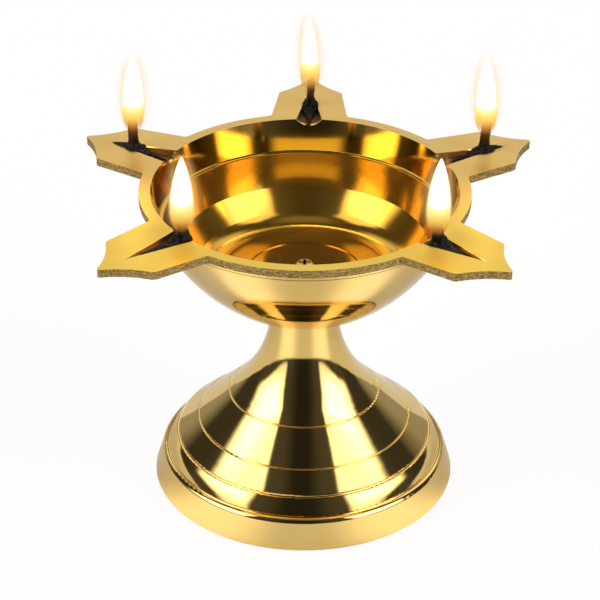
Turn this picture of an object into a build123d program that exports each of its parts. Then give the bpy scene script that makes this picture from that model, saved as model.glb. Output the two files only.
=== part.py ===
from build123d import *
import os
from math import atan, cos, hypot, radians, sin, tan

# Five-wick aarti lamp: a cast brass oil bowl with leaf spouts, screwed to a hollow turned pedestal.
# Millimetres and degrees. The lamp's axis is Z, the table is Z = 0, and the middle leaf points to +Y.

# Rim and bowl
rim_height = 100.0
rim_radius = 50.0
rim_width = 3.5
plate_thickness = 2.5
rim_overhang = 1.6
wall_depth = 9.8
wall_taper = 2.7
ledge_width = 0.9
floor_depth = 28.5
floor_recess_radius = 17.7
floor_recess = 0.3
floor_thickness = 7.0
floor_corner_run = 7.1
bowl_wall = 2.2
dish_foot_place = 0.32
underside_radius = 23.5
outside_bulge = 3.65

# Leaf spouts: how far the shoulder and the tip stand out past the rim, and half widths
leaf_root_half_width = 13.4
leaf_shoulder_half_width = 11.6
leaf_shoulder_out = 15.8
leaf_shoulder_rounding = 1.9
leaf_tip_out = 27.9
leaf_tip_rounding = 0.8
leaf_ogee_sag = 1.25
leaf_root_fillet = 1.4

# The leaves are finished by hand, so the middle one is narrower and the back left one shorter
back_leaf_narrowing = 1.6
back_left_leaf_shortening = 1.3

# Directions of the leaves about the lamp's axis, from +X
front_left_angle = 220.4
back_left_angle = 153.7
back_angle = 88.6
back_right_angle = 25.0
front_right_angle = -40.3

# Wick grooves: a shallow cone, deepest at the mouth, running out to a point on the leaf
groove_depth = 1.95
groove_axis_rise = 3.3
groove_tip_out = 18.5
groove_run_in = 6.0

# Pedestal
foot_radius = 47.2
foot_land = 2.6
foot_edge_rounding = 0.5
skirt_height = 9.6
skirt_flare = 2.9
skirt_shoulder_rounding = 1.7
skirt_ledge = 1.4
lip_inset = 3.2
lip_height = 5.3
lip_bulge = 0.26
bell_shoulder_inset = 18.2
bell_height = 16.4
waist_radius = 10.5
waist_drop = 6.2
neck_flare = 1.4
neck_top_thickness = 5.0
pedestal_wall = 2.4

# Engraved rings: two fine ones on the bell, a wider one above its lip and one in the corner below
fine_ring_radius = 0.4
lip_ring_radius = 0.6
corner_ring_radius = 0.5
upper_ring_place = 0.11
lower_ring_place = 0.65

# Screw that holds the bowl on the pedestal, with its washers and nut
screw_radius = 1.5
screw_length = 17.0
screw_end_chamfer = 0.3
screw_hole_clearance = 0.2
head_radius = 3.0
head_height = 2.4
head_rounding = 1.1
recess_span = 3.4
recess_width = 0.8
recess_depth = 1.3
seal_radius = 3.4
seal_thickness = 0.9
washer_radius = 3.5
washer_thickness = 0.5
washer_clearance = 0.1
nut_across_flats = 5.5
nut_height = 2.4
thread_clearance = 0.02

# Cotton wicks: a foot that lies in the groove and a stem that stands up from a mound
wick_clearance = 0.2
foot_inner_radius = 1.7
foot_outer_radius = 0.35
mound_radius = 2.5
mound_height = 3.0
stem_radius = 1.5
stem_top_radius = 1.25
stem_height = 9.5
stem_top_rounding = 0.5

# Flames
flame_base_height = 6.8
flame_height = 24.2
flame_mouth_radius = 2.3
flame_radius = 4.0
flame_belly_height = 6.0
flame_tip_slope = 0.2
flame_clearance = 0.3

# Where each wick lies along its groove, past the mouth: stem, then inner and outer end of the foot
front_left_stem = 0.2
front_left_foot_start = 0.7
front_left_foot_end = 15.5
back_left_stem = 12.5
back_left_foot_start = 6.0
back_left_foot_end = 20.0
back_stem = 10.5
back_foot_start = 3.5
back_foot_end = 17.5
back_right_stem = 14.6
back_right_foot_start = 6.5
back_right_foot_end = 20.0
front_right_stem = 3.8
front_right_foot_start = 0.7
front_right_foot_end = 16.5

# The two front wicks have burnt down further than the others
front_left_burnt = 3.8
front_right_burnt = 3.0

# Heights and radii that follow from the driving dimensions
plate_bottom = rim_height - plate_thickness
bowl_top_radius = rim_radius - rim_overhang
mouth_radius = rim_radius - rim_width
wall_foot_radius = mouth_radius - wall_taper
ledge_height = rim_height - wall_depth
dish_radius = wall_foot_radius - ledge_width
floor_height = rim_height - floor_depth
seal_seat = floor_height - floor_recess
head_seat = seal_seat + seal_thickness
bowl_underside = floor_height - floor_thickness
neck_ceiling = bowl_underside - neck_top_thickness
nut_top = neck_ceiling - washer_thickness
screw_hole_radius = screw_radius + screw_hole_clearance
washer_hole_radius = screw_radius + washer_clearance
skirt_top_radius = foot_radius - skirt_flare
bell_foot_radius = skirt_top_radius - skirt_ledge
lip_top_radius = bell_foot_radius - lip_inset
lip_top_height = skirt_height + lip_height
shoulder_radius = lip_top_radius - bell_shoulder_inset
shoulder_height = lip_top_height + bell_height
waist_height = bowl_underside - waist_drop
leaf_shoulder_reach = rim_radius + leaf_shoulder_out
leaf_tip_reach = rim_radius + leaf_tip_out
groove_tip_reach = rim_radius + groove_tip_out
groove_run = groove_tip_reach - mouth_radius

# Shape of each leaf: direction, narrowing and shortening
leaf_shapes = {
    "front_left": (front_left_angle, 0, 0),
    "back_left": (back_left_angle, 0, back_left_leaf_shortening),
    "back": (back_angle, back_leaf_narrowing, 0),
    "back_right": (back_right_angle, 0, 0),
    "front_right": (front_right_angle, 0, 0),
}

# Lie of the wick in each leaf: stem, inner end and outer end of the foot, and how far it has burnt down
wick_places = {
    "front_left": (front_left_stem, front_left_foot_start, front_left_foot_end, front_left_burnt),
    "back_left": (back_left_stem, back_left_foot_start, back_left_foot_end, 0),
    "back": (back_stem, back_foot_start, back_foot_end, 0),
    "back_right": (back_right_stem, back_right_foot_start, back_right_foot_end, 0),
    "front_right": (front_right_stem, front_right_foot_start, front_right_foot_end, front_right_burnt),
}

os.makedirs("parts", exist_ok=True)


def finish(builder, name):
    """Labels a finished piece and writes it as its own node."""
    builder.part.label = name
    export_step(builder.part, f"parts/{name}.step")


def corner(sketch, across, up):
    """The corner of a sketch that lies at a place."""
    return sketch.vertices().sort_by_distance((across, up))[0]


def leaf_outline(narrowing, shortening):
    """Outline of one leaf along +X: straight sides, rounded shoulders and hollow sides to the tip."""
    root_half = leaf_root_half_width - narrowing
    shoulder_half = leaf_shoulder_half_width - narrowing
    tip_reach = leaf_tip_reach - shortening
    side_slope = (root_half - shoulder_half) / leaf_shoulder_out
    with BuildSketch() as leaf:
        with BuildLine():
            shoulder = (leaf_shoulder_reach, shoulder_half)
            side = Line((0, root_half + side_slope * rim_radius), shoulder)
            SagittaArc(shoulder, (tip_reach, 0), -leaf_ogee_sag)
            Line(side @ 0, (0, 0))
            mirror(about=Plane.XZ)
        make_face()
        fillet(corner(leaf, tip_reach, 0), leaf_tip_rounding)
        fillet(corner(leaf, leaf_shoulder_reach, shoulder_half), leaf_shoulder_rounding)
        fillet(corner(leaf, leaf_shoulder_reach, -shoulder_half), leaf_shoulder_rounding)
    return leaf.sketch


# Cutter for one wick groove along +X: a cone that ends in a point on the leaf's top face
run_in_share = 1 + groove_run_in / groove_run
cutter_run = groove_run * run_in_share
cutter_rise = groove_axis_rise * run_in_share
cutter_length = hypot(cutter_run, cutter_rise)
cutter_half_angle = atan(cutter_rise / cutter_run) + atan(groove_depth / groove_run)
cutter_plane = Plane(
    origin=(groove_tip_reach - cutter_run, 0, rim_height + cutter_rise),
    z_dir=(cutter_run, 0, -cutter_rise),
)
with BuildPart(cutter_plane) as groove_cutter:
    Cone(
        cutter_length * tan(cutter_half_angle),
        0,
        cutter_length,
        align=(Align.CENTER, Align.CENTER, Align.MIN),
    )

# Oil bowl: rim and leaves in one plate over a turned bowl
with BuildPart() as oil_bowl:
    with BuildSketch(Plane.XY.offset(plate_bottom)) as plate:
        Circle(rim_radius)
        for angle, narrowing, shortening in leaf_shapes.values():
            with PolarLocations(0, 1, angle):
                add(leaf_outline(narrowing, shortening))
        leaf_roots = plate.vertices().filter_by(lambda v: abs(hypot(v.X, v.Y) / rim_radius - 1) < 1e-4)
        fillet(leaf_roots, leaf_root_fillet)
    extrude(amount=plate_thickness)
    with BuildSketch(Plane.XZ):
        with BuildLine():
            underside = Line((0, bowl_underside), (underside_radius, bowl_underside))
            outside = SagittaArc(underside @ 1, (bowl_top_radius, plate_bottom), -outside_bulge)
            Polyline(outside @ 1, (bowl_top_radius, rim_height), (0, rim_height), underside @ 0)
        make_face()
    revolve(axis=Axis.Z)
    with BuildSketch(Plane.XZ):
        with BuildLine():
            outward = outside % dish_foot_place
            dish_foot = outside @ dish_foot_place + Vector(-outward.Y, outward.X) * bowl_wall
            recess = Line((0, seal_seat), (floor_recess_radius, seal_seat))
            floor_start = (dish_foot.X - floor_corner_run, floor_height)
            floor = Polyline(recess @ 1, (floor_recess_radius, floor_height), floor_start)
            floor_corner = TangentArc(floor @ 1, dish_foot, tangent=(1, 0))
            dish = TangentArc(dish_foot, (dish_radius, ledge_height), tangent=floor_corner % 1)
            wall = Polyline(dish @ 1, (wall_foot_radius, ledge_height), (mouth_radius, rim_height))
            Polyline(wall @ 1, (0, rim_height), recess @ 0)
        make_face()
    revolve(axis=Axis.Z, mode=Mode.SUBTRACT)
    for angle, *_ in leaf_shapes.values():
        with PolarLocations(0, 1, angle):
            add(groove_cutter.part, mode=Mode.SUBTRACT)
    with Locations((0, 0, floor_height)):
        Hole(screw_hole_radius)
finish(oil_bowl, "oil_bowl")


def under_skin(point, direction):
    """Point one wall thickness inside the pedestal's outer curve, which runs down in this direction."""
    return point + Vector(direction.Y, -direction.X) * pedestal_wall


# Pedestal: S-curve from the waist over the bell to the foot, hollow below
with BuildPart() as pedestal:
    with BuildSketch(Plane.XZ) as body:
        with BuildLine():
            waist = (waist_radius, waist_height)
            flare = TangentArc(waist, (waist_radius + neck_flare, bowl_underside), tangent=(0, 1))
            neck = TangentArc(waist, (shoulder_radius, shoulder_height), tangent=(0, -1))
            bell = TangentArc(neck @ 1, (lip_top_radius, lip_top_height), tangent=neck % 1)
            lip = SagittaArc(bell @ 1, (bell_foot_radius, skirt_height), lip_bulge)
            skirt = Polyline(lip @ 1, (skirt_top_radius, skirt_height), (foot_radius, 0), (0, 0))
            Polyline(skirt @ 1, (0, bowl_underside), flare @ 1)
        make_face()
        fillet(corner(body, skirt_top_radius, skirt_height), skirt_shoulder_rounding)
        fillet(corner(body, foot_radius, 0), foot_edge_rounding)
    revolve(axis=Axis.Z)
    with BuildSketch(Plane.XZ):
        with BuildLine():
            inner_waist = (waist_radius - pedestal_wall, waist_height)
            ceiling = Polyline((0, 0), (0, neck_ceiling), (inner_waist[0], neck_ceiling), inner_waist)
            inner_neck = TangentArc(ceiling @ 1, under_skin(neck @ 1, neck % 1), tangent=(0, -1))
            inner_bell = TangentArc(inner_neck @ 1, under_skin(bell @ 1, bell % 1), tangent=inner_neck % 1)
            inner_lip = under_skin(lip @ 1, lip % 1)
            skirt_ceiling = skirt_height - pedestal_wall
            Polyline(
                inner_bell @ 1,
                inner_lip,
                (inner_lip.X, skirt_ceiling),
                (skirt_top_radius - foot_land, skirt_ceiling),
                (foot_radius - foot_land, 0),
                (0, 0),
            )
        make_face()
    revolve(axis=Axis.Z, mode=Mode.SUBTRACT)
    with BuildSketch(Plane.XZ):
        with Locations(bell @ upper_ring_place, bell @ lower_ring_place):
            Circle(fine_ring_radius)
        with Locations(lip @ 0):
            Circle(lip_ring_radius)
        with Locations(lip @ 1):
            Circle(corner_ring_radius)
    revolve(axis=Axis.Z, mode=Mode.SUBTRACT)
    with Locations((0, 0, bowl_underside)):
        Hole(screw_hole_radius)
finish(pedestal, "pedestal")

# Screw with a rounded pan head and a cross recess
with BuildPart() as bowl_screw:
    with BuildSketch(Plane.XY.offset(head_seat)):
        Circle(head_radius)
    extrude(amount=head_height)
    fillet(bowl_screw.edges().group_by(Axis.Z)[-1], head_rounding)
    with BuildSketch(Plane.XY.offset(head_seat + head_height)):
        Rectangle(recess_span, recess_width)
        Rectangle(recess_width, recess_span)
    extrude(amount=-recess_depth, mode=Mode.SUBTRACT)
    with BuildSketch(Plane.XY.offset(head_seat)):
        Circle(screw_radius)
    extrude(amount=-screw_length)
    chamfer(bowl_screw.edges().group_by(Axis.Z)[0], screw_end_chamfer)
finish(bowl_screw, "bowl_screw")

with BuildPart() as seal_washer:
    with BuildSketch(Plane.XY.offset(seal_seat)):
        Circle(seal_radius)
        Circle(washer_hole_radius, mode=Mode.SUBTRACT)
    extrude(amount=seal_thickness)
finish(seal_washer, "seal_washer")

with BuildPart() as neck_washer:
    with BuildSketch(Plane.XY.offset(neck_ceiling)):
        Circle(washer_radius)
        Circle(washer_hole_radius, mode=Mode.SUBTRACT)
    extrude(amount=-washer_thickness)
finish(neck_washer, "neck_washer")

with BuildPart() as screw_nut:
    with BuildSketch(Plane.XY.offset(nut_top)):
        RegularPolygon(nut_across_flats / 2, 6, major_radius=False)
        Circle(screw_radius + thread_clearance, mode=Mode.SUBTRACT)
    extrude(amount=-nut_height)
finish(screw_nut, "screw_nut")


def leaf_section(angle):
    """Upright plane along a leaf: X runs out along the leaf, Y up from its top face."""
    across, along = cos(radians(angle)), sin(radians(angle))
    return Plane(origin=(0, 0, rim_height), x_dir=(across, along, 0), z_dir=(along, -across, 0))


def make_wick(section, stem_reach, inner_reach, outer_reach, burnt):
    """Wick with its foot along the groove's bottom and its stem at one place on the leaf."""

    def foot_middle(reach, radius):
        groove_bottom = groove_depth * (groove_tip_reach - reach) / groove_run
        return section.from_local_coords((reach, wick_clearance + radius - groove_bottom))

    inner_end = foot_middle(inner_reach, foot_inner_radius)
    outer_end = foot_middle(outer_reach, foot_outer_radius)
    foot_length = (outer_end - inner_end).length
    foot_plane = Plane(origin=inner_end, z_dir=outer_end - inner_end)
    stem_plane = Plane(origin=section.from_local_coords((stem_reach, 0)))
    with BuildPart() as wick:
        with BuildSketch(foot_plane):
            Circle(foot_inner_radius)
        with BuildSketch(foot_plane.offset(foot_length)):
            Circle(foot_outer_radius)
        loft()
        with BuildSketch(stem_plane.offset(wick_clearance)):
            Circle(mound_radius)
        with BuildSketch(stem_plane.offset(mound_height)):
            Circle(stem_radius)
        loft()
        with BuildSketch(stem_plane.offset(mound_height)):
            Circle(stem_radius)
        with BuildSketch(stem_plane.offset(stem_height - burnt)):
            Circle(stem_top_radius)
        loft()
        fillet(wick.edges().group_by(Axis.Z)[-1], stem_top_rounding)
    return wick


def make_flame(section, stem_reach, burnt):
    """Flame round the tip of a wick, with a socket that clears the stem."""
    flame_base = flame_base_height - burnt
    flame_top = flame_base + flame_height
    socket_depth = stem_height + flame_clearance - flame_base_height
    belly = (stem_reach + flame_radius, flame_base + flame_belly_height)
    stem_axis = Axis(section.from_local_coords((stem_reach, 0)), (0, 0, 1))
    with BuildPart() as flame:
        with BuildSketch(section):
            with BuildLine():
                mouth = (stem_reach + flame_mouth_radius, flame_base)
                TangentArc(belly, mouth, tangent=(0, -1))
                tongue = Spline(belly, (stem_reach, flame_top), tangents=[(0, 1), (-flame_tip_slope, 1)])
                Polyline(tongue @ 1, (stem_reach, flame_base), mouth)
            make_face()
        revolve(axis=stem_axis)
        socket_plane = Plane(origin=section.from_local_coords((stem_reach, flame_base)))
        with BuildSketch(socket_plane):
            Circle(stem_radius + flame_clearance)
        extrude(amount=socket_depth, mode=Mode.SUBTRACT)
    return flame


for place, (stem, foot_start, foot_end, burnt) in wick_places.items():
    section = leaf_section(leaf_shapes[place][0])
    stem_reach = mouth_radius + stem
    wick = make_wick(section, stem_reach, mouth_radius + foot_start, mouth_radius + foot_end, burnt)
    finish(wick, f"wick_{place}")
    finish(make_flame(section, stem_reach, burnt), f"flame_{place}")
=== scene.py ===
import math
import random
from typing import NamedTuple

import bmesh
import bpy
from mathutils import Matrix, Vector, noise


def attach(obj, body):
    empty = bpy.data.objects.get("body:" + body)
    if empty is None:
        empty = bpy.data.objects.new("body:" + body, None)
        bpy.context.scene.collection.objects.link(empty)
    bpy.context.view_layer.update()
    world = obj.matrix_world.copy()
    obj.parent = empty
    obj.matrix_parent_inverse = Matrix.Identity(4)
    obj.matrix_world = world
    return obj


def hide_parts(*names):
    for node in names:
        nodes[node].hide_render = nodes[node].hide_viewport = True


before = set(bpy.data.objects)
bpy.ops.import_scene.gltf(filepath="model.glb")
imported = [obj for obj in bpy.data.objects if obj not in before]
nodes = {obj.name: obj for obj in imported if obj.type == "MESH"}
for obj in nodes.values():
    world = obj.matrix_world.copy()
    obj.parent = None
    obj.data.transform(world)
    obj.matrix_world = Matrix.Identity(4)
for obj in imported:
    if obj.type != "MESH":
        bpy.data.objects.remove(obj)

# Blender's own start-up objects go
for name in ("Cube", "Light", "Camera"):
    if name in bpy.data.objects:
        bpy.data.objects.remove(bpy.data.objects[name])

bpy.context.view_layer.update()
scene = bpy.context.scene
scene.view_settings.view_transform = "Standard"

# Sizes of the lamp in metres, in the same frame as the CAD model
MM = 0.001
RIM_HEIGHT = 100 * MM
PLATE_BOTTOM = 97.5 * MM
LINE_HEIGHT = 95.4 * MM
DISH_TOP = 90.2 * MM
STEP_HEIGHT = 81.0 * MM
STEP_RELIEF = 2.5 * MM
HEAD_TOP = 74.5 * MM
EDGE_RADIUS = 48.75 * MM
MOUTH_RADIUS = 46.5 * MM
GROOVE_TIP = 68.5 * MM
GROOVE_RUN = GROOVE_TIP - MOUTH_RADIUS
GROOVE_DEPTH = 1.95 * MM
GROOVE_AXIS_RISE = 3.3 * MM
GROOVE_HALF = 4.1 * MM
STEM_HEIGHT = 9.5 * MM
FLAME_BASE = 5.6 * MM


class Wick(NamedTuple):
    """A wick's leaf in degrees, distances past the bowl's mouth, height burnt off and stem radius."""

    angle: float
    stem: float
    foot_start: float
    foot_end: float
    burnt: float
    stem_radius: float


WICKS = {
    "front_left": Wick(220.4, 0.2 * MM, -0.6 * MM, 15.5 * MM, 3.8 * MM, 1.5 * MM),
    "back_left": Wick(153.7, 12.5 * MM, 1.0 * MM, 20.0 * MM, 0.0, 1.5 * MM),
    "back": Wick(88.6, 10.5 * MM, 0.5 * MM, 17.5 * MM, 0.0, 1.15 * MM),
    "back_right": Wick(25.0, 14.6 * MM, 2.0 * MM, 20.6 * MM, 0.0, 1.5 * MM),
    "front_right": Wick(-40.3, 3.8 * MM, -0.4 * MM, 16.5 * MM, 3.0 * MM, 1.6 * MM),
}

# Each flame: length and sway of its tip along X, both in millimetres, and how much of its belly it has lost
FLAMES = {
    "front_left": (24.4, 0.3, 0.0),
    "back_left": (26.4, 0.4, 0.0),
    "back": (24.8, -0.6, 1.0),
    "back_right": (26.4, -0.6, 0.15),
    "front_right": (24.7, 0.3, 0.0),
}


class Graph:
    """Builds one node tree in few words."""

    def __init__(self, tree):
        self.tree = tree
        self.tree.nodes.clear()

    def add(self, kind, settings=None, **values):
        node = self.tree.nodes.new(kind)
        for key, value in (settings or {}).items():
            setattr(node, key, value)
        for key, value in values.items():
            self.put(node, key, value)
        return node

    def put(self, node, key, value):
        """Links or sets an input, named by its place as in _0 or by its name with _ for a space."""
        socket = node.inputs[int(key[1:])] if key[0] == "_" else node.inputs[key.replace("_", " ")]
        if isinstance(value, bpy.types.NodeSocket):
            self.tree.links.new(value, socket)
        else:
            socket.default_value = value

    def math(self, operation, a, b=0.0, clamp=False):
        node = self.add("ShaderNodeMath", {"operation": operation, "use_clamp": clamp}, _0=a, _1=b)
        return node.outputs[0]

    def times(self, product, *factors):
        for factor in factors:
            product = self.math("MULTIPLY", product, factor)
        return product

    def largest(self, values):
        most = values[0]
        for value in values[1:]:
            most = self.math("MAXIMUM", most, value)
        return most

    def ramp(self, value, low, high):
        """0 below low, 1 above high, smooth between. low may be above high."""
        settings = {"interpolation_type": "SMOOTHSTEP"}
        node = self.add("ShaderNodeMapRange", settings, Value=value, From_Min=low, From_Max=high)
        return node.outputs["Result"]

    def noise(self, vector, scale, detail=3.0, rough=0.55):
        node = self.add("ShaderNodeTexNoise", Vector=vector, Scale=scale, Detail=detail, Roughness=rough)
        return node.outputs["Fac"]

    def scaled(self, vector, x, y, z):
        node = self.add("ShaderNodeVectorMath", {"operation": "MULTIPLY"}, _0=vector, _1=(x, y, z))
        return node.outputs[0]

    def dot(self, a, b):
        node = self.add("ShaderNodeVectorMath", {"operation": "DOT_PRODUCT"}, _0=a, _1=b)
        return node.outputs["Value"]

    def length(self, vector):
        node = self.add("ShaderNodeVectorMath", {"operation": "LENGTH"}, _0=vector)
        return node.outputs["Value"]

    def distance(self, a, b):
        node = self.add("ShaderNodeVectorMath", {"operation": "DISTANCE"}, _0=a, _1=b)
        return node.outputs["Value"]

    def split(self, vector):
        return self.add("ShaderNodeSeparateXYZ", Vector=vector).outputs

    def channels(self, colour):
        return self.add("ShaderNodeSeparateColor", Color=colour).outputs

    def place(self):
        return self.add("ShaderNodeTexCoord").outputs["Object"]

    def mix(self, factor, a, b):
        """Mix of two colours."""
        node = self.add("ShaderNodeMix", {"data_type": "RGBA"}, _0=factor, _6=a, _7=b)
        return node.outputs[2]

    def blend(self, factor, a, b):
        """Mix of two numbers."""
        node = self.add("ShaderNodeMix", {"data_type": "FLOAT"}, _0=factor, _2=a, _3=b)
        return node.outputs[0]

    def mix_shaders(self, factor, a, b):
        return self.add("ShaderNodeMixShader", _0=factor, _1=a.outputs[0], _2=b.outputs[0])

    def bump(self, height, strength, distance, normal=None):
        node = self.add("ShaderNodeBump", Height=height, Strength=strength, Distance=distance)
        if normal is not None:
            self.put(node, "Normal", normal)
        return node.outputs["Normal"]

    def colours(self, value, stops):
        """Colour that runs through stops of (place, colour) as the value goes from 0 to 1."""
        node = self.add("ShaderNodeValToRGB", Fac=value)
        band = node.color_ramp
        while len(band.elements) < len(stops):
            band.elements.new(0.5)
        for element, (place, colour) in zip(band.elements, stops):
            element.position = place
            element.color = colour
        return node.outputs["Color"]

    def principled(self, **values):
        self.surface(self.add("ShaderNodeBsdfPrincipled", **values))

    def surface(self, shader):
        self.add("ShaderNodeOutputMaterial", Surface=shader.outputs[0])


def new_material(name):
    material = bpy.data.materials.new(name)
    material.use_nodes = True
    return material, Graph(material.node_tree)


def leaf_frame(place):
    """Foot of a wick's stem on the leaf's top face, and the directions along and across the leaf."""
    turn = math.radians(WICKS[place].angle)
    along = Vector((math.cos(turn), math.sin(turn), 0))
    across = Vector((-math.sin(turn), math.cos(turn), 0))
    foot = along * (MOUTH_RADIUS + WICKS[place].stem) + Vector((0, 0, RIM_HEIGHT))
    return foot, along, across


class Facts(NamedTuple):
    """A point's place, height and distance from the axis, and how far its face looks up and outwards."""

    place: bpy.types.NodeSocket
    z: bpy.types.NodeSocket
    radius: bpy.types.NodeSocket
    up: bpy.types.NodeSocket
    away: bpy.types.NodeSocket


def surface_facts(graph):
    coordinates = graph.add("ShaderNodeTexCoord").outputs
    place, normal = coordinates["Object"], coordinates["Normal"]
    flat_place = graph.scaled(place, 1, 1, 0)
    out = graph.add("ShaderNodeVectorMath", {"operation": "NORMALIZE"}, _0=flat_place).outputs[0]
    return Facts(
        place=place,
        z=graph.split(place)[2],
        radius=graph.length(flat_place),
        up=graph.split(normal)[2],
        away=graph.dot(normal, out),
    )


def soot_mask(graph, place, near, far):
    """1 beside a wick's stem, 0 further off than far."""
    gaps = [graph.distance(place, leaf_frame(wick)[0]) for wick in WICKS]
    return graph.largest([graph.ramp(gap, far, near) for gap in gaps])


def groove_mask(graph, place, z):
    """1 on the walls of the wick grooves, short of their bright edges."""
    masks = []
    for wick in WICKS:
        along, across = leaf_frame(wick)[1:]
        aside = graph.math("ABSOLUTE", graph.dot(place, across))
        left = graph.math("SUBTRACT", GROOVE_TIP, graph.dot(place, along))
        run = graph.math("DIVIDE", left, GROOVE_RUN)
        past = graph.math("SUBTRACT", aside, graph.times(run, GROOVE_HALF))
        masks.append(graph.times(graph.ramp(past, 0.2 * MM, 0.0), graph.ramp(run, 1.0, 0.97)))
    under_top = graph.ramp(z, RIM_HEIGHT - 0.08 * MM, RIM_HEIGHT - 0.22 * MM)
    over_bottom = graph.ramp(z, PLATE_BOTTOM - 0.1 * MM, PLATE_BOTTOM + 0.1 * MM)
    return graph.times(graph.largest(masks), under_top, over_bottom)


def bowl_material():
    """Brass of the bowl: polished wall, amber dish, satin leaf tops with painted glow at the front, sawn
    edges, a line of painted shade and grooves with soot and painted shade.
    """
    material, g = new_material("bowl_brass")
    at = surface_facts(g)

    # Where each kind of surface lies
    top = g.times(g.ramp(at.up, 0.90, 0.97), g.ramp(at.z, RIM_HEIGHT - 0.10 * MM, RIM_HEIGHT - 0.03 * MM))
    side = g.times(
        g.ramp(g.math("ABSOLUTE", at.up), 0.5, 0.3),
        g.ramp(at.z, PLATE_BOTTOM - 0.5 * MM, PLATE_BOTTOM - 0.1 * MM),
        g.ramp(at.radius, EDGE_RADIUS - 0.15 * MM, EDGE_RADIUS + 0.15 * MM),
    )
    not_top = g.math("SUBTRACT", 1.0, top)
    inner = g.times(g.ramp(at.away, 0.25, 0.15), g.ramp(at.up, -0.3, -0.1), not_top)
    dish = g.times(inner, g.ramp(at.z, DISH_TOP + 0.3 * MM, DISH_TOP - 0.3 * MM))
    groove = g.times(groove_mask(g, at.place, at.z), g.ramp(at.up, 0.02, 0.12))
    # Painted shade: a dark line round the bowl just under the plate, over a shallow groove in the relief
    line_gap = g.math("ABSOLUTE", g.math("SUBTRACT", at.z, LINE_HEIGHT))
    line = g.times(g.ramp(line_gap, 0.22 * MM, 0.10 * MM), g.ramp(at.away, 0.3, 0.5))
    # Painted light: the leaf tops turn a brighter yellow towards the front, a painted glow
    painted_front_glow = g.ramp(g.split(at.place)[1], 10 * MM, -25 * MM)
    oily = g.times(soot_mask(g, at.place, 4.0 * MM, 16.0 * MM), top)

    # Patterns, with scales in waves to the metre
    cloud = g.noise(at.place, 90.0, 4.0)
    grain = g.noise(at.place, 2600.0, 2.0, 0.6)
    lathe = g.noise(g.scaled(at.place, 30, 30, 2600), 1.0, 3.0, 0.6)
    rings = g.noise(g.add("ShaderNodeCombineXYZ", X=at.radius).outputs[0], 3200.0, 3.0, 0.6)
    cast = g.noise(at.place, 1900.0, 5.0, 0.7)
    filed = g.noise(g.scaled(at.place, 500, 500, 5200), 1.0, 4.0, 0.7)
    smoke = g.noise(at.place, 420.0, 4.0, 0.6)
    worn = g.ramp(g.math("ADD", g.times(cast, 0.5), g.times(filed, 0.5)), 0.42, 0.60)
    soot = g.times(soot_mask(g, at.place, 4.5 * MM, 11.0 * MM), g.ramp(smoke, 0.20, 0.55))
    soot = g.times(soot, g.blend(groove, 0.04, 0.95))

    polished = g.mix(cloud, (0.82, 0.555, 0.17, 1), (0.86, 0.60, 0.21, 1))
    wall = (0.83, 0.55, 0.125, 1)
    amber = g.mix(cloud, (0.55, 0.29, 0.035, 1), (0.61, 0.35, 0.050, 1))
    satin = g.mix(cloud, (0.80, 0.535, 0.165, 1), (0.84, 0.585, 0.20, 1))
    # Painted light: the bright yellow of the painted glow on the front leaf tops
    yellow = (0.88, 0.60, 0.10, 1)
    sawn = g.mix(worn, (0.17, 0.105, 0.032, 1), (0.60, 0.41, 0.14, 1))
    # Painted shade: colour of the line under the plate
    painted_line_shade = (0.12, 0.06, 0.012, 1)
    # Groove walls: soot and oil stains, together with painted shade and reflection
    scorch_and_shade = g.mix(smoke, (0.030, 0.010, 0.003, 1), (0.34, 0.115, 0.020, 1))
    black = (0.030, 0.014, 0.006, 1)
    colour = g.mix(inner, polished, wall)
    colour = g.mix(dish, colour, amber)
    colour = g.mix(top, colour, g.mix(painted_front_glow, satin, yellow))
    colour = g.mix(side, colour, sawn)
    colour = g.mix(g.times(line, 0.8), colour, painted_line_shade)
    colour = g.mix(groove, colour, scorch_and_shade)
    colour = g.mix(soot, colour, black)

    roughness = g.blend(dish, g.blend(cloud, 0.05, 0.09), g.blend(cloud, 0.10, 0.14))
    roughness = g.blend(top, roughness, g.blend(oily, 0.40, 0.55))
    roughness = g.blend(groove, roughness, g.blend(smoke, 0.22, 0.45))
    roughness = g.blend(side, roughness, g.blend(cast, 0.62, 0.42))
    roughness = g.blend(soot, roughness, 0.30)

    # Relief: the steeper upper band of the dish, tool marks, the sawn edge and the turned line
    rise = g.add("ShaderNodeMapRange", Value=at.z, From_Min=STEP_HEIGHT, From_Max=DISH_TOP)
    fine = g.blend(top, g.blend(inner, lathe, rings), grain)
    normal = g.bump(g.times(rise.outputs["Result"], dish), 1.0, STEP_RELIEF)
    normal = g.bump(fine, g.blend(top, 0.04, 0.008), 0.05 * MM, normal)
    normal = g.bump(g.times(cast, side), 0.7, 0.3 * MM, normal)
    normal = g.bump(line, -0.6, 0.1 * MM, normal)
    g.principled(
        Base_Color=colour,
        Metallic=g.blend(dish, g.blend(oily, 1.0, 0.62), 0.88),
        Roughness=roughness,
        Normal=normal,
        Specular_IOR_Level=0.3,
    )
    return material


def stand_material():
    """Polished brass of the pedestal, dull on the inside."""
    material, g = new_material("stand_brass")
    at = surface_facts(g)
    cloud = g.noise(at.place, 70.0, 4.0)
    lathe = g.noise(g.scaled(at.place, 25, 25, 2200), 1.0, 3.0, 0.6)
    waves = g.noise(g.scaled(at.place, 40, 40, 160), 1.0, 2.0, 0.5)
    inner = g.times(g.ramp(at.away, 0.1, -0.1), g.ramp(at.up, 0.5, 0.2))
    polished = g.mix(cloud, (0.83, 0.565, 0.175, 1), (0.87, 0.61, 0.205, 1))
    normal = g.bump(waves, 0.14, 0.25 * MM)
    normal = g.bump(lathe, 0.05, 0.05 * MM, normal)
    g.principled(
        Base_Color=g.mix(inner, polished, (0.45, 0.29, 0.09, 1)),
        Metallic=1.0,
        Roughness=g.blend(inner, g.blend(cloud, 0.04, 0.08), 0.45),
        Normal=normal,
    )
    return material


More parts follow.
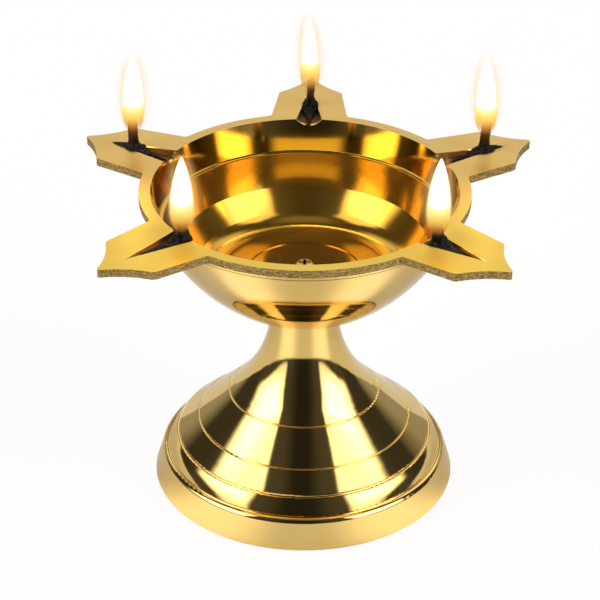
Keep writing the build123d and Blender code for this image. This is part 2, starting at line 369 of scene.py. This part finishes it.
def screw_material():
    """Scratched brass of the screw, its washer and its nut, with painted shade in the cross recess of the
    head.
    """
    material, g = new_material("screw_brass")
    place = g.place()
    cloud = g.noise(place, 600.0, 3.0)
    scratch = g.noise(g.scaled(place, 400, 5000, 400), 1.0, 2.0)
    brass = g.mix(cloud, (0.50, 0.32, 0.10, 1), (0.66, 0.46, 0.18, 1))
    # Painted shade: the cross recess in the head is coloured near black
    deep = g.ramp(g.split(place)[2], HEAD_TOP - 0.05 * MM, HEAD_TOP - 0.3 * MM)
    recess = g.times(g.ramp(g.length(g.scaled(place, 1, 1, 0)), 2.0 * MM, 1.7 * MM), deep)
    g.principled(
        Base_Color=g.mix(recess, brass, (0.020, 0.010, 0.003, 1)),
        Metallic=1.0,
        Roughness=g.blend(cloud, 0.18, 0.34),
        Normal=g.bump(scratch, 0.2, 0.05 * MM),
    )
    return material


def seal_material():
    """Dark rubber."""
    material, g = new_material("seal_rubber")
    speck = g.noise(g.place(), 2500.0, 4.0)
    g.principled(
        Base_Color=g.mix(speck, (0.018, 0.013, 0.010, 1), (0.05, 0.035, 0.022, 1)),
        Roughness=g.blend(speck, 0.25, 0.5),
        Normal=g.bump(speck, 0.4, 0.08 * MM),
    )
    return material


def char_material():
    """Charred cotton soaked in oil: black foot, a brown upper stem that is painted glow of the flame,
    specks of ash and a wet gloss.
    """
    material, g = new_material("charred_cotton")
    place = g.place()
    fibre = g.noise(place, 3200.0, 4.0, 0.65)
    lump = g.noise(place, 900.0, 3.0, 0.6)
    ash = g.ramp(g.noise(place, 1700.0, 5.0, 0.7), 0.62, 0.74)
    # Painted light: the upper stem turns brown, a painted glow of the flame on it
    painted_glow_share = g.ramp(g.split(place)[2], 2.0 * MM, 6.5 * MM)
    brown = g.mix(fibre, (0.030, 0.009, 0.002, 1), (0.15, 0.050, 0.010, 1))
    colour = g.mix(lump, (0.003, 0.002, 0.0015, 1), (0.012, 0.007, 0.004, 1))
    colour = g.mix(g.times(ash, 0.4), colour, (0.050, 0.042, 0.034, 1))
    normal = g.bump(lump, 0.8, 0.4 * MM)
    normal = g.bump(fibre, 0.5, 0.12 * MM, normal)
    g.principled(
        Base_Color=g.mix(painted_glow_share, colour, brown),
        Roughness=g.blend(lump, 0.08, 0.34),
        Normal=normal,
        Specular_IOR_Level=0.13,
    )
    return material


# A colour ramp holds 0 to 1, so the strengths of a flame pass through it as shares of this one
FULL_STRENGTH = 20.0


def flame_material(name, length, stops, coverage):
    """Glowing gas: a colour along its height, and its cover from the edge of what is seen to the middle."""
    material, g = new_material(name)
    share = g.math("DIVIDE", g.split(g.place())[2], length, clamp=True)
    glow = g.colours(share, [(at, colour) for at, colour, _, _ in stops])
    levels = [(at, (strength / FULL_STRENGTH, alpha, 0, 1)) for at, _, strength, alpha in stops]
    strength_share, height_cover = g.channels(g.colours(share, levels))[:2]
    facing = g.add("ShaderNodeLayerWeight", Blend=0.5).outputs["Facing"]
    middle = g.math("SUBTRACT", 1.0, facing, clamp=True)
    cover = g.colours(middle, [(at, (level, level, level, 1)) for at, level in coverage])
    alpha = g.times(height_cover, g.channels(cover)[0])
    emission = g.add("ShaderNodeEmission", Color=glow, Strength=g.times(strength_share, FULL_STRENGTH))
    g.surface(g.mix_shaders(alpha, g.add("ShaderNodeBsdfTransparent"), emission))
    return material


def dress(node_name, material):
    """Gives a CAD node one material."""
    for slot in nodes[node_name].material_slots:
        slot.material = material


dress("oil_bowl", bowl_material())
dress("pedestal", stand_material())
brass_screw = screw_material()
for name in ("bowl_screw", "neck_washer", "screw_nut"):
    dress(name, brass_screw)
dress("seal_washer", seal_material())


def groove_skin(reach, across):
    """Height of the metal under a point of the leaf, over its top face."""
    share = (GROOVE_TIP - reach) / GROOVE_RUN
    if share <= 0:
        return 0.0
    radius = (GROOVE_DEPTH + GROOVE_AXIS_RISE) * share
    if abs(across) >= radius:
        return 0.0
    return min(0.0, GROOVE_AXIS_RISE * share - math.sqrt(radius ** 2 - across ** 2))


def turns(count):
    """Angles of points that go once round."""
    return [2 * math.pi * k / count for k in range(count)]


def skin(mesh, rows):
    """Joins rows of points into one tube, closed at both ends."""
    grid = [[mesh.verts.new(point) for point in row] for row in rows]
    count = len(rows[0])
    for lower, upper in zip(grid, grid[1:]):
        for i in range(count):
            mesh.faces.new((lower[i], lower[(i + 1) % count], upper[(i + 1) % count], upper[i]))
    mesh.faces.new(list(reversed(grid[0])))
    mesh.faces.new(grid[-1])


def make_piece(name, mesh_data, place, body, node_name, materials):
    """Turns a mesh built about a place into a smooth piece that rides on a body and stands for a node."""
    bmesh.ops.recalc_face_normals(mesh_data, faces=mesh_data.faces)
    mesh = bpy.data.meshes.new(name)
    mesh_data.to_mesh(mesh)
    mesh_data.free()
    for polygon in mesh.polygons:
        polygon.use_smooth = True
    for material in materials:
        mesh.materials.append(material)
    piece = bpy.data.objects.new(name, mesh)
    piece.location = place
    scene.collection.objects.link(piece)
    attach(piece, body)
    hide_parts(node_name)


# Stem of a wick: its mesh, lean, rounded tip, flare at the foot, and how it sits on the metal or over the
# bowl's mouth
STEM_SIDES, STEM_ROWS = 48, 48
STEM_LEAN = 0.12
TIP_START = 0.86
TIP_LEAST = 0.25
FLARE_WIDTH = 1.5 * MM
FLARE_HEIGHT = 1.0 * MM
SEAT_HEIGHT = 0.9 * MM
STEM_CLEARANCE = 0.35 * MM
MOUTH_LEVEL = -0.9 * MM
MOUTH_EDGE = 1 * MM


def add_stem(mesh, place, seed):
    """Upright twisted stem that flares into the foot, with a ragged round tip."""
    wick = WICKS[place]
    along, across = leaf_frame(place)[1:]
    height = STEM_HEIGHT - wick.burnt
    lean = Vector((noise.noise(seed), noise.noise(seed + Vector((5, 0, 0))), 0)) * STEM_LEAN
    rows = []
    for i in range(STEM_ROWS + 1):
        share = i / STEM_ROWS
        up = height * share
        past_start = max(0.0, (share - TIP_START) / (1 - TIP_START))
        rounding = math.sqrt(max(0.0, 1 - past_start ** 2))
        thick = wick.stem_radius * (TIP_LEAST + (1 - TIP_LEAST) * rounding)
        flare = FLARE_WIDTH * math.exp(-up / FLARE_HEIGHT)
        seat = math.exp(-up / SEAT_HEIGHT)
        sway = lean * (up ** 2 / height)
        row = []
        for turn in turns(STEM_SIDES):
            c, s = math.cos(turn), math.sin(turn)
            strands = 1 + 0.10 * math.cos(3 * turn - 0.50 * up / MM)
            lumps = 1 + 0.12 * noise.noise(Vector((c * 1.4, s * 1.4, 0.9 * up / MM)) + seed)
            lumps += 0.05 * noise.noise(Vector((c * 4.0, s * 4.0, 2.4 * up / MM)) + seed)
            distance = (thick * strands + flare) * lumps
            ground = MOUTH_LEVEL
            if wick.stem > MOUTH_EDGE:
                ground = groove_skin(MOUTH_RADIUS + wick.stem + c * distance, s * distance)
            level = up + (ground + STEM_CLEARANCE) * seat
            row.append(along * (c * distance) + across * (s * distance) + Vector((0, 0, level)) + sway)
        rows.append(row)
    skin(mesh, rows)


# Foot of a wick: its mesh and its room in the groove
FOOT_SIDES, FOOT_ROWS = 36, 90
FOOT_FILL = 0.97
FOOT_OVERLAP = 0.25 * MM
FOOT_CLEARANCE = 0.07 * MM

# Half width and crown of the foot in millimetres: swelling at the stem, how far that reaches, size of the
# rest, how that fades to the ends, and the least
FOOT_SPREAD = (2.9, 2.6, 1.5, 0.8, 0.12)
FOOT_CROWN = (1.6, 1.9, 0.9, 0.7, 0.10)


def foot_size(shape, gap, left):
    """Half width or crown at a gap from the stem, where this share of the foot is left."""
    swelling, swelling_reach, rest, fade, least = shape
    return (swelling * math.exp(-abs(gap) / (swelling_reach * MM)) + rest * left ** fade + least) * MM


def add_foot(mesh, place, seed):
    """Foot that fills the groove about the stem and runs out to a point at both ends."""
    wick = WICKS[place]
    along, across = leaf_frame(place)[1:]
    rows = []
    for i in range(FOOT_ROWS + 1):
        at = wick.foot_start + (wick.foot_end - wick.foot_start) * i / FOOT_ROWS
        in_groove = max(at, 0.0)
        gap = at - wick.stem
        room = (wick.foot_end - wick.stem) if gap > 0 else (wick.stem - wick.foot_start)
        left = 1 - min(1.0, abs(gap) / room)
        groove_half = GROOVE_HALF * max(0.0, (GROOVE_RUN - in_groove) / GROOVE_RUN)
        ragged = 1 + 0.22 * noise.noise(Vector((at / MM * 0.7, 0, 0)) + seed)
        half = min(foot_size(FOOT_SPREAD, gap, left) * ragged, groove_half * FOOT_FILL + FOOT_OVERLAP)
        crown = foot_size(FOOT_CROWN, gap, left)
        drift = 0.25 * MM * noise.noise(Vector((0, at / MM * 0.35, 0)) + seed)
        row = []
        for turn in turns(FOOT_SIDES):
            sideways = half * math.cos(turn) + drift
            ground = groove_skin(MOUTH_RADIUS + in_groove, sideways)
            strands = 1 + 0.18 * math.cos(5 * turn - 0.9 * at / MM)
            lumps = 1 + 0.35 * noise.noise(Vector((at / MM * 0.9, math.cos(turn) * 1.6, 0)) + seed)
            rise = crown * max(0.0, math.sin(turn)) ** 0.8 * strands * lumps
            level = ground + FOOT_CLEARANCE + rise
            row.append(along * gap + across * sideways + Vector((0, 0, level)))
        rows.append(row)
    skin(mesh, rows)


# Loose fibres of a wick, in millimetres: half of them stand off the stem and half off the foot
FIBRES = 12
FIBRE_SIDES, FIBRE_ROWS = 6, 6
FIBRE_RADIUS = 0.10
FIBRE_TAPER = 0.7
FIBRE_SAG = 0.3
FIBRE_ROOT = 1.4


def add_fibres(mesh, place, rand):
    """Loose fibres that stand off the stem and the foot."""
    along, across = leaf_frame(place)[1:]
    height = (STEM_HEIGHT - WICKS[place].burnt) / MM
    for fibre in range(FIBRES):
        turn = rand.uniform(0, 2 * math.pi)
        c, s = math.cos(turn), math.sin(turn)
        if fibre % 2:
            root = Vector((c * FIBRE_ROOT, s * FIBRE_ROOT, rand.uniform(1.5, height - 1.2)))
            way = Vector((c, s, rand.uniform(0.2, 1.0)))
        else:
            root = Vector((rand.uniform(1.5, 4.0), rand.uniform(-1.2, 1.2), rand.uniform(0.2, 0.7)))
            way = Vector((rand.uniform(0.2, 1.0), rand.uniform(-0.5, 0.5), rand.uniform(0.1, 0.5)))
        way.normalize()
        side = way.orthogonal().normalized()
        other = way.cross(side)
        length = rand.uniform(0.6, 1.3)
        curl = rand.uniform(-0.4, 0.4)
        rows = []
        for i in range(FIBRE_ROWS + 1):
            share = i / FIBRE_ROWS
            sag = Vector((0, 0, FIBRE_SAG * share ** 2))
            middle = root + way * (length * share) + side * (curl * share ** 2) - sag
            thick = FIBRE_RADIUS * (1 - FIBRE_TAPER * share)
            row = []
            for around in turns(FIBRE_SIDES):
                point = middle + side * (math.cos(around) * thick) + other * (math.sin(around) * thick)
                point = point * MM
                row.append(along * point.x + across * point.y + Vector((0, 0, point.z)))
            rows.append(row)
        skin(mesh, rows)


def make_wick(place, material):
    """Twisted cotton wick: stem, foot along the groove and loose fibres."""
    rand = random.Random(place)
    seed = Vector((rand.uniform(0, 90), rand.uniform(0, 90), rand.uniform(0, 90)))
    mesh = bmesh.new()
    add_stem(mesh, place, seed)
    add_foot(mesh, place, seed)
    add_fibres(mesh, place, rand)
    origin = leaf_frame(place)[0]
    make_piece(
        f"wick_{place}_cotton", mesh, origin, f"wick_{place}", f"wick_{place}", [material]
    )


# Flame outline: share of its length, and half width in millimetres
FLAME_OUTLINE = (
    (0.0, 1.80), (0.05, 2.85), (0.13, 3.55), (0.24, 3.86), (0.38, 3.75), (0.52, 3.38),
    (0.65, 2.85), (0.76, 2.22), (0.86, 1.50), (0.93, 0.88), (0.975, 0.42), (1.0, 0.06),
)

# Shells of a flame: widening, extra half width, then how far they start and end over its foot and tip
SHELLS = ((0.88, 0.0, 0.4, -0.6), (1.0, 0.0, 0.0, 0.0), (1.0, 3.0, -1.0, 3.0))

# A flame's mesh, the part of its width that a lost belly takes and from where, and how its sway grows
FLAME_SIDES, FLAME_ROWS = 40, 56
BELLY_LOSS = 0.17
BELLY_START = 0.08
BELLY_RUN = 0.3
SWAY_POWER = 1.6


def outline_width(share):
    """Half width of the flame at a share of its length, in millimetres."""
    for (low, a), (high, b) in zip(FLAME_OUTLINE, FLAME_OUTLINE[1:]):
        if share <= high:
            return a + (b - a) * (share - low) / (high - low)
    return FLAME_OUTLINE[-1][1]


def make_flame(place, materials):
    """Three nested shells of glowing gas: white core, yellow fringe and a faint halo."""
    length, sway, slim = FLAMES[place]
    base = leaf_frame(place)[0] + Vector((0, 0, FLAME_BASE - WICKS[place].burnt))
    mesh = bmesh.new()
    for index, (widen, extra, low, high) in enumerate(SHELLS):
        rows = []
        for i in range(FLAME_ROWS + 1):
            share = 0.5 - 0.5 * math.cos(math.pi * i / FLAME_ROWS)
            up = low + (length + high - low) * share
            belly = 1 - slim * BELLY_LOSS * min(1.0, max(0.0, (share - BELLY_START) / BELLY_RUN))
            bulge = 2 * math.sqrt(max(0.0, share * (1 - share)))
            width = widen * belly * outline_width(share) + extra * bulge
            middle = sway * max(0.0, up / length) ** SWAY_POWER
            row = []
            for turn in turns(FLAME_SIDES):
                row.append(Vector((middle + math.cos(turn) * width, math.sin(turn) * width, up)) * MM)
            rows.append(row)
        before = len(mesh.faces)
        skin(mesh, rows)
        mesh.faces.ensure_lookup_table()
        for face in mesh.faces[before:]:
            face.material_index = index
    body, node_name = f"wick_{place}", f"flame_{place}"
    make_piece(f"flame_{place}_glow", mesh, base, body, node_name, materials)


# Along a flame: share of its length, colour, strength and cover
core_stops = [
    (0.00, (0.60, 0.16, 0.01, 1), 0.7, 0.00),
    (0.08, (0.85, 0.22, 0.01, 1), 0.8, 0.30),
    (0.16, (1.00, 0.42, 0.02, 1), 0.9, 0.68),
    (0.25, (1.00, 0.72, 0.09, 1), 1.0, 0.95),
    (0.36, (1.00, 0.90, 0.36, 1), 1.4, 1.00),
    (0.50, (1.00, 0.84, 0.40, 1), 9.0, 1.00),
    (1.00, (1.00, 0.84, 0.40, 1), 14.0, 1.00),
]
fringe_stops = [
    (0.00, (1.00, 0.55, 0.14, 1), 0.9, 0.00),
    (0.12, (1.00, 0.62, 0.18, 1), 1.0, 0.08),
    (0.30, (1.00, 0.80, 0.36, 1), 1.0, 0.65),
    (0.60, (1.00, 0.86, 0.50, 1), 1.2, 0.90),
    (0.92, (1.00, 0.84, 0.46, 1), 1.1, 0.80),
    (1.00, (1.00, 0.78, 0.38, 1), 1.0, 0.30),
]
halo_stops = [
    (0.00, (1.00, 0.62, 0.20, 1), 1.0, 0.00),
    (0.22, (1.00, 0.63, 0.21, 1), 1.0, 0.85),
    (0.75, (1.00, 0.63, 0.21, 1), 1.0, 1.00),
    (1.00, (1.00, 0.63, 0.21, 1), 1.0, 0.00),
]

# From the edge of what is seen of a shell to its middle: place and cover
core_cover = [(0.0, 0.0), (0.12, 0.25), (0.38, 1.0), (1.0, 1.0)]
fringe_cover = [(0.0, 0.0), (0.25, 0.40), (0.50, 0.65), (0.80, 0.30), (1.0, 0.20)]
halo_cover = [
    (0.0, 0.0), (0.37, 0.012), (0.60, 0.055), (0.74, 0.14), (0.84, 0.33), (0.90, 0.16), (1.0, 0.02),
]

# Heights over which the colours of a flame and of its halo run
FLAME_LENGTH = 25.4 * MM
HALO_LENGTH = FLAME_LENGTH * 1.12

charred = char_material()
flame_materials = [
    flame_material("flame_core", FLAME_LENGTH, core_stops, core_cover),
    flame_material("flame_fringe", FLAME_LENGTH, fringe_stops, fringe_cover),
    flame_material("flame_halo", HALO_LENGTH, halo_stops, halo_cover),
]
for place in WICKS:
    make_wick(place, charred)
    make_flame(place, flame_materials)


def side_turn(graph, x, y):
    """Angle in degrees from the camera's side of the lamp, by which the studio is laid out."""
    return graph.math("DEGREES", graph.math("ARCTAN2", x, graph.times(y, -1.0)))


# Floor: half its width in metres, its white, how much of that the eye sees in place of the lit floor, and
# the pools of light that metal mirrors. Each pair of angles is a soft edge, from dark to lit
FLOOR_HALF = 6.0
FLOOR_WHITE = 1.04
EVEN_SHARE = 0.85
POOL_LIGHT = 0.62
POOL_FRONT = (10.0, 46.0)
POOL_BACK = (84.0, 58.0)


def make_floor():
    """Floor that fills every view: white to the eye with a faint shadow, and clear from below."""
    mesh = bpy.data.meshes.new("floor")
    grid = bmesh.new()
    bmesh.ops.create_grid(grid, x_segments=8, y_segments=8, size=FLOOR_HALF)
    grid.to_mesh(mesh)
    grid.free()
    floor = bpy.data.objects.new("floor", mesh)
    scene.collection.objects.link(floor)

    material, g = new_material("floor_white")
    place = g.place()
    tone = g.noise(place, 8.0, 2.0)
    matt = g.add("ShaderNodeBsdfDiffuse", Color=g.mix(tone, (0.79, 0.79, 0.79, 1), (0.81, 0.81, 0.81, 1)))
    x, y = g.split(place)[:2]
    turn = side_turn(g, g.math("ABSOLUTE", x), y)
    pools = g.times(g.ramp(turn, *POOL_FRONT), g.ramp(turn, *POOL_BACK), POOL_LIGHT)
    path = g.add("ShaderNodeLightPath").outputs
    mirrored = g.largest([path["Is Glossy Ray"], path["Is Transmission Ray"]])
    glow = g.add("ShaderNodeEmission", Strength=g.times(mirrored, pools))
    lit = g.add("ShaderNodeAddShader", _0=matt.outputs[0], _1=glow.outputs[0])
    white = g.add("ShaderNodeEmission", Strength=FLOOR_WHITE)
    above = g.mix_shaders(g.times(path["Is Camera Ray"], EVEN_SHARE), lit, white)
    below = g.add("ShaderNodeNewGeometry").outputs["Backfacing"]
    g.surface(g.mix_shaders(below, above, g.add("ShaderNodeBsdfTransparent")))
    mesh.materials.append(material)


make_floor()

# Studio in the world. Angles are in degrees, round from the camera's side to left and right, and up from
# the floor. Each pair is a soft edge, from dark to lit
STUDIO_TURN = 3.0
BOX_FRONT, BOX_BACK = (38.0, 44.0), (101.0, 90.0)
BOX_FOOT, BOX_TOP = (1.0, 8.0), (68.0, 60.0)
TOP_LEAN, TOP_LEAN_RUN = 10.0, (42.0, 66.0)
FOOT_LIFT, FOOT_LIFT_RUN = 9.0, (50.0, 90.0)
HOT_FRONT, HOT_BACK = (38.0, 54.0), (104.0, 74.0)
HOT_FOOT, HOT_TOP = (8.0, 27.0), (54.0, 40.0)
UPPER_HALF = (30.0, 44.0)
BOX_LIGHT, UPPER_LIGHT, HOT_LIGHT = 1.4, 0.8, 2.7
SWEEP_FRONT, SWEEP_TOP, SWEEP_RISE = (118.0, 140.0), (62.0, 50.0), (19.0, 40.0)
SWEEP_LIGHT = 0.36
LOW_EDGE, LOW_LIGHT = (2.0, 0.0), 0.75
ZENITH_EDGE, ZENITH_LIGHT = (68.0, 84.0), 0.25
SPILL_FRONT, SPILL_LIGHT = (8.0, 34.0), 0.05
SPILL_BACK, SPILL_LOSS = (90.0, 110.0), 0.5
ROOM_LIGHT = 0.02


def make_world():
    """Dark room with two tall soft boxes, left and right of the camera's line, and a white sweep behind."""
    world = bpy.data.worlds.new("studio")
    scene.world = world
    world.use_nodes = True
    g = Graph(world.node_tree)
    x, y, z = g.split(g.add("ShaderNodeTexCoord").outputs["Generated"])
    around = g.math("ABSOLUTE", g.math("ADD", side_turn(g, x, y), STUDIO_TURN))
    above = g.math("DEGREES", g.math("ARCSINE", z))

    # A soft box leans outwards at its top, its foot lifts to the back, and its middle is brightest
    leaned = g.math("SUBTRACT", around, g.times(g.ramp(above, *TOP_LEAN_RUN), TOP_LEAN))
    lifted = g.math("SUBTRACT", above, g.times(g.ramp(around, *FOOT_LIFT_RUN), FOOT_LIFT))
    box = g.times(g.ramp(leaned, *BOX_FRONT), g.ramp(around, *BOX_BACK))
    box = g.times(box, g.ramp(lifted, *BOX_FOOT), g.ramp(above, *BOX_TOP))
    hot = g.times(g.ramp(above, *HOT_FOOT), g.ramp(above, *HOT_TOP))
    hot = g.times(hot, g.ramp(leaned, *HOT_FRONT), g.ramp(around, *HOT_BACK))
    box_light = g.math("ADD", BOX_LIGHT, g.times(g.ramp(above, *UPPER_HALF), UPPER_LIGHT))
    box_light = g.times(box, g.math("ADD", box_light, g.times(hot, HOT_LIGHT)))

    sweep = g.times(g.ramp(around, *SWEEP_FRONT), g.ramp(above, *SWEEP_TOP))
    sweep = g.times(sweep, g.math("ADD", SWEEP_LIGHT, g.ramp(above, *SWEEP_RISE)))
    low = g.times(g.ramp(above, *LOW_EDGE), LOW_LIGHT)

    # The room is lighter overhead, and a little beside the soft boxes
    spill_loss = g.times(g.ramp(around, *SPILL_BACK), SPILL_LOSS)
    spill = g.math("SUBTRACT", g.ramp(around, *SPILL_FRONT), spill_loss)
    room = g.math("ADD", ROOM_LIGHT, g.times(g.ramp(above, *ZENITH_EDGE), ZENITH_LIGHT))
    room = g.math("ADD", room, g.times(spill, SPILL_LIGHT))
    light = g.largest([sweep, low, box_light, room])
    light = g.blend(g.add("ShaderNodeLightPath").outputs["Is Camera Ray"], light, 1.0)
    background = g.add("ShaderNodeBackground", Color=(1.0, 1.0, 1.0, 1), Strength=light)
    g.add("ShaderNodeOutputWorld", Surface=background.outputs[0])


make_world()

# Camera, fitted to the photograph
CAMERA_DISTANCE = 0.775
CAMERA_ELEVATION = math.radians(30.49)
CAMERA_ROLL = math.radians(0.28)
LOOK_AT = Vector((0, 0, 0.061))
AIM_ASIDE = Vector((-1.36 * MM, 0, 0))
SENSOR_WIDTH = 36.0
PICTURE_WIDTH = 600
FOCAL_PIXELS = 2515.5


def make_camera():
    """Camera where the photograph was taken from."""
    data = bpy.data.cameras.new("camera")
    data.sensor_width = SENSOR_WIDTH
    data.lens = FOCAL_PIXELS / PICTURE_WIDTH * SENSOR_WIDTH
    camera = bpy.data.objects.new("camera", data)
    back = Vector((0, -math.cos(CAMERA_ELEVATION), math.sin(CAMERA_ELEVATION)))
    place = LOOK_AT + back * CAMERA_DISTANCE
    aim = (LOOK_AT + AIM_ASIDE - place).normalized()
    right = aim.cross(Vector((0, 0, 1))).normalized()
    up = right.cross(aim)
    turned_right = right * math.cos(CAMERA_ROLL) + up * math.sin(CAMERA_ROLL)
    turned_up = up * math.cos(CAMERA_ROLL) - right * math.sin(CAMERA_ROLL)
    rows = Matrix((turned_right, turned_up, -aim)).transposed()
    camera.matrix_world = Matrix.Translation(place) @ rows.to_4x4()
    scene.collection.objects.link(camera)
    scene.camera = camera


make_camera()
